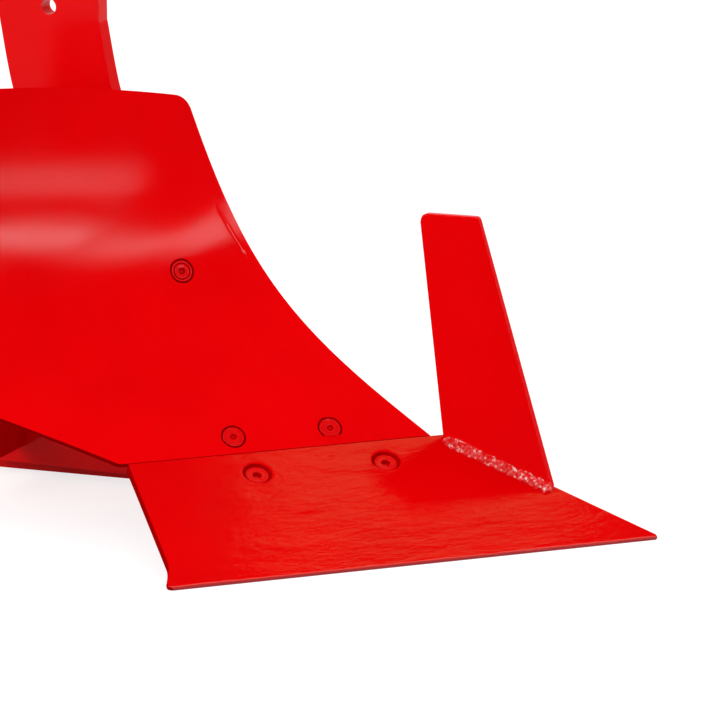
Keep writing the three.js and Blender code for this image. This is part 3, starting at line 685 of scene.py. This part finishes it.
HEX_SIDES = 6
HEAD_POINTS = 48
SHANK_STEPS = 4  # steps of a bolt's outline from the shank's end to the side of its head
HEAD_CREASE = 60


def hex_radius(across, angle):
    step = 2 * pi / HEX_SIDES
    return across / 2 / cos((angle % step) - step / 2)


def bolt_mesh(name, origin, axes, length, rings, socket, groove=()):
    """A countersunk bolt, with axes to the side, up and into the plate. rings are (radius, depth)
    pairs from the rim of its head inwards, socket is the width across flats and the depth of its
    filled-up socket, and groove numbers the steps of the head that get painted shade, like its
    shank and socket. Returns the mesh and the numbers of the faces that get painted shade."""
    side, up, into = axes
    across, deep = socket
    points, loops = [], []

    def loop(radius_at, depth):
        loops.append([len(points) + k for k in range(HEAD_POINTS)])
        for k in range(HEAD_POINTS):
            angle = 2 * pi * k / HEAD_POINTS
            radius = radius_at(angle)
            out = side * radius * cos(angle) + up * radius * sin(angle)
            points.append(origin + out + into * depth)

    def round_loop(radius, depth):
        loop(lambda angle: radius, depth)

    def hex_loop(flats, depth):
        loop(lambda angle: hex_radius(flats, angle), depth)

    round_loop(SHANK_RADIUS - 1, length)
    round_loop(SHANK_RADIUS, length - 1)
    round_loop(SHANK_RADIUS, rings[0][1] + HEAD_RADIUS - SHANK_RADIUS)
    for radius, depth in rings:
        round_loop(radius, depth)
    head_end = len(loops)
    inner, top = rings[-1]
    loop(lambda angle: 0.35 * inner + 0.65 * hex_radius(across + 1.6, angle), top)
    hex_loop(across + 0.5, top + 0.25)
    hex_loop(across - 0.2, top + 0.9)
    hex_loop(across - 1.0, top + deep)
    round_loop(across * 0.18, top + deep + 0.3)
    faces = [tuple(reversed(loops[0]))]
    dark = []
    for step, (lower, upper) in enumerate(zip(loops, loops[1:])):
        for k in range(HEAD_POINTS):
            if step < SHANK_STEPS or step > head_end or step in groove:
                dark.append(len(faces))
            m = (k + 1) % HEAD_POINTS
            faces.append((lower[k], lower[m], upper[m], upper[k]))
    faces.append(tuple(loops[-1]))
    return mesh_from(name, points, faces), dark


# Outlines of the heads from the rim inwards: flush, flush with rings, and sunk in the share
FLUSH_RINGS = [
    (HEAD_RADIUS - 0.3, 1.8), (HEAD_RADIUS - 0.6, 0.5), (HEAD_RADIUS - 1.2, 0.0), (9.8, -0.1),
    (9.2, 0.3), (8.4, 0.6), (7.8, 0.25), (6.6, 0.0), (5.6, 0.2)]
GROOVED_RINGS = [
    (HEAD_RADIUS - 0.2, 1.8), (HEAD_RADIUS - 0.6, 0.5), (HEAD_RADIUS - 1.3, -0.1), (9.8, 0.0),
    (9.2, 0.7), (8.2, 1.1), (7.6, 0.8), (7.0, 0.0), (6.2, -0.1), (5.4, 0.3)]
SHARE_RINGS = [
    (HEAD_RADIUS + 0.6, 1.4), (HEAD_RADIUS + 0.4, 0.4), (HEAD_RADIUS - 0.3, -0.1), (10.2, -0.2),
    (8.8, -0.1), (8.1, 0.2), (7.3, 0.0)]
# Width across flats and depth of the sockets, which paint has partly filled
FLUSH_SOCKET = (5.8, 0.5)
GROOVED_SOCKET = (6.2, 1.6)
SHARE_SOCKET = (7.6, 2.6)
GROOVE = (7, 8)  # the steps of the grooved head's outline that are its groove


def build_bolt(name, *shape):
    mesh, dark = bolt_mesh(name, *shape)
    piece = finish_mesh(
        name + "_head", mesh, bolt_paint, [name + "_bolt"], HEAD_CREASE)
    # Painted shade on the shank, the groove and the socket
    paint_faces(piece, painted_shade, dark)


def build_bolts():
    for name, along in SHARE_BOLTS.items():
        origin = share_point(along, SHARE_BOLTS_UP, SHARE_BOLT_SINK)
        axes = (ALONG_EDGE, UP_SLOPE, INTO_SHARE)
        build_bolt(name, origin, axes, SHARE_BOLT_LENGTH, SHARE_RINGS, SHARE_SOCKET)
    for name, (height, along) in MOLD_BOLTS.items():
        z = SEAM_Z + height
        origin = mold_point(along, z, 0)
        into = into_mold(along, z)
        side = (face_point(along + 1, z) - face_point(along, z)).normalized()
        axes = (side, into.cross(side), into)
        if name == "moldboard_upper":
            shape = (UPPER_BOLT_LENGTH, GROOVED_RINGS, GROOVED_SOCKET, GROOVE)
        else:
            shape = (SEAM_BOLT_LENGTH, FLUSH_RINGS, FLUSH_SOCKET)
        build_bolt(name, origin, axes, *shape)


# ------------------------------------------------------------------------------------------------
# Fin
# ------------------------------------------------------------------------------------------------

FIN_FOOT_SLOPE = tan(SHARE_PITCH) * sin(SHARE_ANGLE)
FIN_FOOT_CROSS = tan(SHARE_PITCH) * cos(SHARE_ANGLE)


def share_top(x, y):
    """Height of the share's upper face over a place."""
    return EDGE_HEIGHT - FIN_FOOT_SLOPE * x + FIN_FOOT_CROSS * y


def lean_with_fin(point):
    height = point.z - share_top(point.x, -FIN_THICKNESS)
    return point + Vector((0, FIN_LEAN * height, 0))


def arc(start, middle, end, count):
    """Points on a curve from start to end that leans towards middle."""
    points = []
    for k in range(count + 1):
        t = k / count
        weights = ((1 - t) ** 2, 2 * t * (1 - t), t * t)
        points.append(tuple(
            weights[0] * s + weights[1] * m + weights[2] * e
            for s, m, e in zip(start, middle, end)))
    return points


FIN_GAP = 0.3  # between the fin's foot and the share
FIN_ROUND = 1.5
FOOT_CRISP = 0.35


def build_fin():
    corner, high = FIN_CORNER, FIN_TOP_HEIGHT
    front_rise = high - share_top(-FIN_FOOT_FRONT, 0)
    front_lean = (FIN_TOP_FRONT - FIN_FOOT_FRONT) / front_rise
    # The outline in x and z. The two foot corners have no z, because they follow the share
    outline = [(-FIN_FOOT_FRONT, None), (-FIN_FOOT_REAR, None)]
    outline += arc(
        (-FIN_TOP_REAR, high - corner), (-FIN_TOP_REAR, high), (-FIN_TOP_REAR + corner, high), 7)
    outline += arc(
        (-FIN_TOP_FRONT - corner / 2, high), (-FIN_TOP_FRONT, high),
        (-FIN_TOP_FRONT + front_lean * corner / 2, high - corner / 2), 5)
    points, faces = [], []
    for y in (-FIN_THICKNESS, 0):
        for x, z in outline:
            point = Vector((x, y, share_top(x, y) + FIN_GAP if z is None else z))
            points.append(lean_with_fin(point))
    count = len(outline)
    faces.append(tuple(range(count)))
    faces.append(tuple(reversed(range(count, 2 * count))))
    for k in range(count):
        m = (k + 1) % count
        faces.append((m, k, k + count, m + count))
    mesh = mesh_from("fin_blade", points, faces)
    piece = finish_mesh("fin_blade", mesh, plate_paint, ["share_fin"], 30)

    # The furrow face's edge is rounded, the other face's and the foot's less, and the short edges
    # across the rounded corners not at all
    weights = piece.data.attributes.new("bevel_weight_edge", "FLOAT", "EDGE")
    ends = {frozenset((k, (k + 1) % count)) for k in range(2, count)}
    for edge in piece.data.edges:
        start, end = edge.vertices
        weight = 1.0 if frozenset((start, end)) in ends else FOOT_CRISP
        if abs(start - end) == count and start % count not in (0, 1, 2):
            weight = 0
        weights.data[edge.index].value = weight
    bevel = piece.modifiers.new("ground_edge", "BEVEL")
    bevel.limit_method = "WEIGHT"
    bevel.width = FIN_ROUND * MM
    bevel.segments = 3
    bevel.harden_normals = True


# ------------------------------------------------------------------------------------------------
# Weld
# ------------------------------------------------------------------------------------------------

BEAD_RADIUS = 7.6
BEAD_SEED = 2.5
BEAD_STEP = 0.7
BEAD_ACROSS = 14
BEAD_PITCH = 4.2
BEAD_RIPPLE = 0.10
BEAD_LUMPS = 0.35
BEAD_CREASE = 70


def bead_mesh(name, start, end, wall_a, wall_b):
    """A bead laid by hand along a corner. wall_a and wall_b point away from the corner, along the
    two faces that it joins."""
    radius, seed, across = BEAD_RADIUS, BEAD_SEED, BEAD_ACROSS
    run = end - start
    length = run.length
    direction = run.normalized()
    steps = round(length / BEAD_STEP)
    opening = wall_a.angle(wall_b)
    points, faces = [], []
    for i in range(steps + 1):
        s = length * i / steps
        wander = noise.noise(Vector((s / 11, seed, 0.3)))
        wide = noise.noise(Vector((s / 6, seed, 5.1)))
        closing = sqrt(max(0.0, 1 - max(0, 1 - min(s, length - s) / radius) ** 2))
        for j in range(across + 1):
            turn = j / across
            angle = opening * turn
            ray = (wall_a * sin(opening - angle) + wall_b * sin(angle)).normalized()
            crown = sin(pi * turn)
            phase = 2 * pi * (s + 1.6 * pi * turn * (1 - turn) + 2.2 * wander) / BEAD_PITCH
            ripple = BEAD_RIPPLE * crown * sin(phase)
            lump = BEAD_LUMPS * crown * noise.noise(Vector((s / 3.1, turn * 3.2, seed + 9)))
            reach = radius * (0.92 + 0.22 * wide + ripple + lump) * max(closing, 0.05)
            points.append(start + direction * s + ray * reach)
    spine = []
    for i in range(steps + 1):
        spine.append(len(points))
        points.append(start + direction * (length * i / steps))
    row = across + 1
    for i in range(steps):
        for j in range(across):
            a = i * row + j
            faces.append((a, a + row, a + row + 1, a + 1))
        faces.append((spine[i], spine[i + 1], (i + 1) * row, i * row))
        faces.append((spine[i + 1], spine[i], i * row + across, (i + 1) * row + across))
    for i, flip in ((0, False), (steps, True)):
        fan = [spine[i]] + [i * row + j for j in range(across + 1)]
        faces.append(tuple(reversed(fan)) if flip else tuple(fan))
    mesh = mesh_from(name, points, faces)
    fixed = bmesh.new()
    fixed.from_mesh(mesh)
    bmesh.ops.recalc_face_normals(fixed, faces=fixed.faces)
    fixed.to_mesh(mesh)
    fixed.free()
    return mesh


def build_fin_weld():
    y = -FIN_THICKNESS
    start = Vector((-FIN_FOOT_FRONT, y, share_top(-FIN_FOOT_FRONT, y)))
    end = Vector((-FIN_FOOT_REAR, y, share_top(-FIN_FOOT_REAR, y)))
    run = (end - start).normalized()
    up = Vector((0, 1, 0)).cross(run) * -1
    up = up if up.z > 0 else -up
    down_plate = Vector((0, -1, -FIN_FOOT_CROSS))
    down_plate = (down_plate - run * down_plate.dot(run)).normalized()
    mesh = bead_mesh("fin_bead", start, end, up + Vector((0, FIN_LEAN, 0)), down_plate)
    finish_mesh("fin_bead", mesh, weld_paint, ["fin_weld"], BEAD_CREASE)


# ------------------------------------------------------------------------------------------------
# Plates that the CAD model shapes, with their edges rounded
# ------------------------------------------------------------------------------------------------

SOFTEN_CREASE = 32


def soften(source, material, width):
    """A copy of a CAD node with flat faces merged and its sharp edges rounded."""
    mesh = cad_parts[source].data.copy()
    shape = bmesh.new()
    shape.from_mesh(mesh)
    bmesh.ops.remove_doubles(shape, verts=shape.verts, dist=1e-6)
    bmesh.ops.dissolve_limit(shape, angle_limit=radians(0.6), verts=shape.verts, edges=shape.edges)
    shape.to_mesh(mesh)
    shape.free()
    if "custom_normal" in mesh.attributes:
        mesh.attributes.remove(mesh.attributes["custom_normal"])
    piece = finish_mesh(source + "_painted", mesh, material, [source], SOFTEN_CREASE)
    bevel = piece.modifiers.new("edges", "BEVEL")
    bevel.limit_method = "ANGLE"
    bevel.angle_limit = radians(SOFTEN_CREASE)
    bevel.width = width * MM
    bevel.segments = 2
    bevel.harden_normals = True
    bevel.use_clamp_overlap = True


# How far the edges are rounded
PLATES = {
    "frog": 1.0, "frog_web": 0.8, "upper_bracket": 1.0, "leg": 1.6, "landside": 1.2,
    "heel_plate": 1.0, "lower_stay": 1.0, "upper_stay": 0.8,
}
NUT_ROUND = 0.7
BOLT_ROUND = 0.6


def build_cad_pieces():
    for source, width in PLATES.items():
        soften(source, plate_paint, width)
    shown = {*SHARE_BOLTS, *MOLD_BOLTS}
    for source in sorted(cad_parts):
        if source.endswith("_nut"):
            soften(source, bolt_paint, NUT_ROUND)
        elif source.endswith("_bolt") and source.removesuffix("_bolt") not in shown:
            soften(source, bolt_paint, BOLT_ROUND)


# ------------------------------------------------------------------------------------------------
# Camera, lights, floor
# ------------------------------------------------------------------------------------------------

CAMERA_AZIMUTH = 22.9
CAMERA_ELEVATION = 13.7
CAMERA_FROM_TIP = (1216.7, -3657.1, 1122.1)
LENS = 199.3
SENSOR = 36


def direction(azimuth, elevation):
    """Unit vector towards an azimuth and elevation, in degrees, as the views count them."""
    a, e = radians(azimuth), radians(elevation)
    return Vector((sin(a) * cos(e), -cos(a) * cos(e), sin(e)))


def build_camera():
    data = bpy.data.cameras.new("camera")
    data.sensor_width = SENSOR
    data.lens = LENS
    camera = bpy.data.objects.new("camera", data)
    camera.location = place(CAMERA_FROM_TIP)
    turned = radians(CAMERA_AZIMUTH)
    right = Vector((cos(turned), sin(turned), 0))
    back = direction(CAMERA_AZIMUTH, CAMERA_ELEVATION)
    up = back.cross(right)
    camera.rotation_euler = Matrix((right, up, back)).transposed().to_euler()
    bpy.context.scene.collection.objects.link(camera)
    bpy.context.scene.camera = camera


def area_light(name, target, towards, distance, size, radiance, offset=(0, 0), roll=0.0,
               tint=(1, 1, 1)):
    """A rectangular light of a given radiance, where 1 is white. It stands at a distance from the
    target, towards an azimuth and elevation, then offset sideways and up, and is rolled."""
    width, height = size
    data = bpy.data.lights.new(name, "AREA")
    data.shape = "RECTANGLE"
    data.size = width
    data.size_y = height
    data.energy = radiance * pi * width * height
    data.color = tint
    light = bpy.data.objects.new(name, data)
    away = direction(*towards)
    turn = away.to_track_quat("Z", "Y")
    light.location = target + away * distance + turn @ Vector((*offset, 0))
    rolled = Matrix.Rotation(radians(roll), 3, "Z").to_quaternion()
    light.rotation_euler = (turn @ rolled).to_euler()
    bpy.context.scene.collection.objects.link(light)


MOLD_TARGET = (-564.6, -130, 312.2)
SHARE_TARGET = (-304.6, -130, 62.2)
LAMP_DISTANCE = 5.0
KEY_DISTANCE = 4.5

# The moldboard mirrors the strips as bright bands, so they stand where its curve needs them
STRIPS_TOWARDS = (72, 18)
STRIP_ROLL = -18.3
STRIPS = {
    "strip_outer": dict(size=(0.15, 1.46), radiance=11.3, offset=(0.070, -0.655), roll=STRIP_ROLL),
    "strip_inner": dict(size=(0.15, 0.80), radiance=28.0, offset=(-0.235, -0.138), roll=STRIP_ROLL),
    "strip_middle": dict(size=(0.17, 0.56), radiance=15.5, offset=(-0.010, 0.585), roll=-21),
    "strip_end": dict(size=(0.26, 0.34), radiance=17.0, offset=(0.290, 0.92), roll=0),
}

# The share mirrors the ceiling lamp as a pale field. The key lamp lights the body from the front,
# and edge_glow the edges that face forward
CEILING_TOWARDS = (176, 62)
CEILING = dict(
    size=(0.74, 0.52), radiance=2.75, offset=(-0.010, -0.140), roll=40, tint=(1.0, 0.95, 0.42))
KEY_TOWARDS = (-38, 34)
KEY = dict(size=(3.0, 2.4), radiance=3.05)
EDGE_GLOW_TOWARDS = (128, 20)
EDGE_GLOW = dict(size=(1.5, 1.9), radiance=3.4)


def build_lamps():
    face, share = place(MOLD_TARGET), place(SHARE_TARGET)
    for name, shape in STRIPS.items():
        area_light(name, face, STRIPS_TOWARDS, LAMP_DISTANCE, **shape)
    area_light("ceiling", share, CEILING_TOWARDS, LAMP_DISTANCE, **CEILING)
    area_light("key", share, KEY_TOWARDS, KEY_DISTANCE, **KEY)
    area_light("edge_glow", share, EDGE_GLOW_TOWARDS, LAMP_DISTANCE, **EDGE_GLOW)


WORLD_LEVEL = 0.89
# Gloss sees a world that is dark, but for a white part behind the body. The cosines to its middle
# give where it starts and where it is full
GLOSS_TOWARDS = (200, 0)
GLOSS_START, GLOSS_FULL = 0.55, 0.95
GLOSS_DARK = 0.05


def build_world():
    """A world that lights the body at a plain level, and that the camera sees as white."""
    world = bpy.data.worlds.new("studio")
    bpy.context.scene.world = world
    world.use_nodes = True
    tree = world.node_tree
    background = tree.nodes["Background"]
    background.inputs["Color"].default_value = (1, 1, 1, 1)
    path = tree.nodes.new("ShaderNodeLightPath")
    coords = tree.nodes.new("ShaderNodeTexCoord")
    axis = tree.nodes.new("ShaderNodeVectorMath")
    axis.operation = "DOT_PRODUCT"
    link(tree, coords, "Generated", axis, 0)
    axis.inputs[1].default_value = direction(*GLOSS_TOWARDS)
    sweep = map_range(tree, axis, "Value", GLOSS_START, GLOSS_FULL, GLOSS_DARK, 1.0)
    mirrored = tree.nodes.new("ShaderNodeMix")
    mirrored.inputs["A"].default_value = WORLD_LEVEL
    link(tree, path, "Is Glossy Ray", mirrored, "Factor")
    link(tree, sweep, "Result", mirrored, "B")
    seen = math_node(tree, "MAXIMUM")
    link(tree, path, "Is Camera Ray", seen, 0)
    link(tree, path, "Is Transmission Ray", seen, 1)
    strength = tree.nodes.new("ShaderNodeMix")
    strength.inputs["B"].default_value = 1.0
    link(tree, seen, 0, strength, "Factor")
    link(tree, mirrored, "Result", strength, "A")
    link(tree, strength, "Result", background, "Strength")


FLOOR_HALF = 14
FLOOR_TONE = (0.36, 0.40)
FLOOR_LIFT = 0.75  # paleness that rays see on top of the light on the floor


def build_floor():
    mesh = bpy.data.meshes.new("floor")
    h = FLOOR_HALF
    mesh.from_pydata([(-h, -h, 0), (h, -h, 0), (h, h, 0), (-h, h, 0)], [], [(0, 1, 2, 3)])
    floor = bpy.data.objects.new("floor", mesh)
    floor.location.z = share_low.z
    material = bpy.data.materials.new("pale_floor")
    material.use_nodes = True
    tree = material.node_tree
    shader = tree.nodes["Principled BSDF"]
    coords = tree.nodes.new("ShaderNodeTexCoord")
    grain = noise_node(tree, coords, 3, 3)
    tone = map_range(tree, grain, "Fac", 0, 1, *FLOOR_TONE)
    mix = tree.nodes.new("ShaderNodeCombineColor")
    for channel in ("Red", "Green", "Blue"):
        link(tree, tone, "Result", mix, channel)
    link(tree, mix, "Color", shader, "Base Color")
    shader.inputs["Roughness"].default_value = 0.9
    shader.inputs["Specular IOR Level"].default_value = 0.1

    # The camera, gloss and glass see the lift, and it adds no light to the body
    path = tree.nodes.new("ShaderNodeLightPath")
    seen = math_node(tree, "MAXIMUM")
    link(tree, path, "Is Camera Ray", seen, 0)
    link(tree, path, "Is Glossy Ray", seen, 1)
    through = math_node(tree, "MAXIMUM")
    link(tree, seen, 0, through, 0)
    link(tree, path, "Is Transmission Ray", through, 1)
    lift = map_range(tree, through, 0, 0, 1, 0, FLOOR_LIFT)
    shader.inputs["Emission Color"].default_value = (1, 1, 1, 1)
    link(tree, lift, "Result", shader, "Emission Strength")
    mesh.materials.append(material)
    bpy.context.scene.collection.objects.link(floor)


build_camera()
build_lamps()
build_world()
build_floor()
build_share()
build_moldboard()
build_bolts()
build_fin()
build_fin_weld()
build_cad_pieces()

bpy.context.scene.view_settings.view_transform = "Standard"
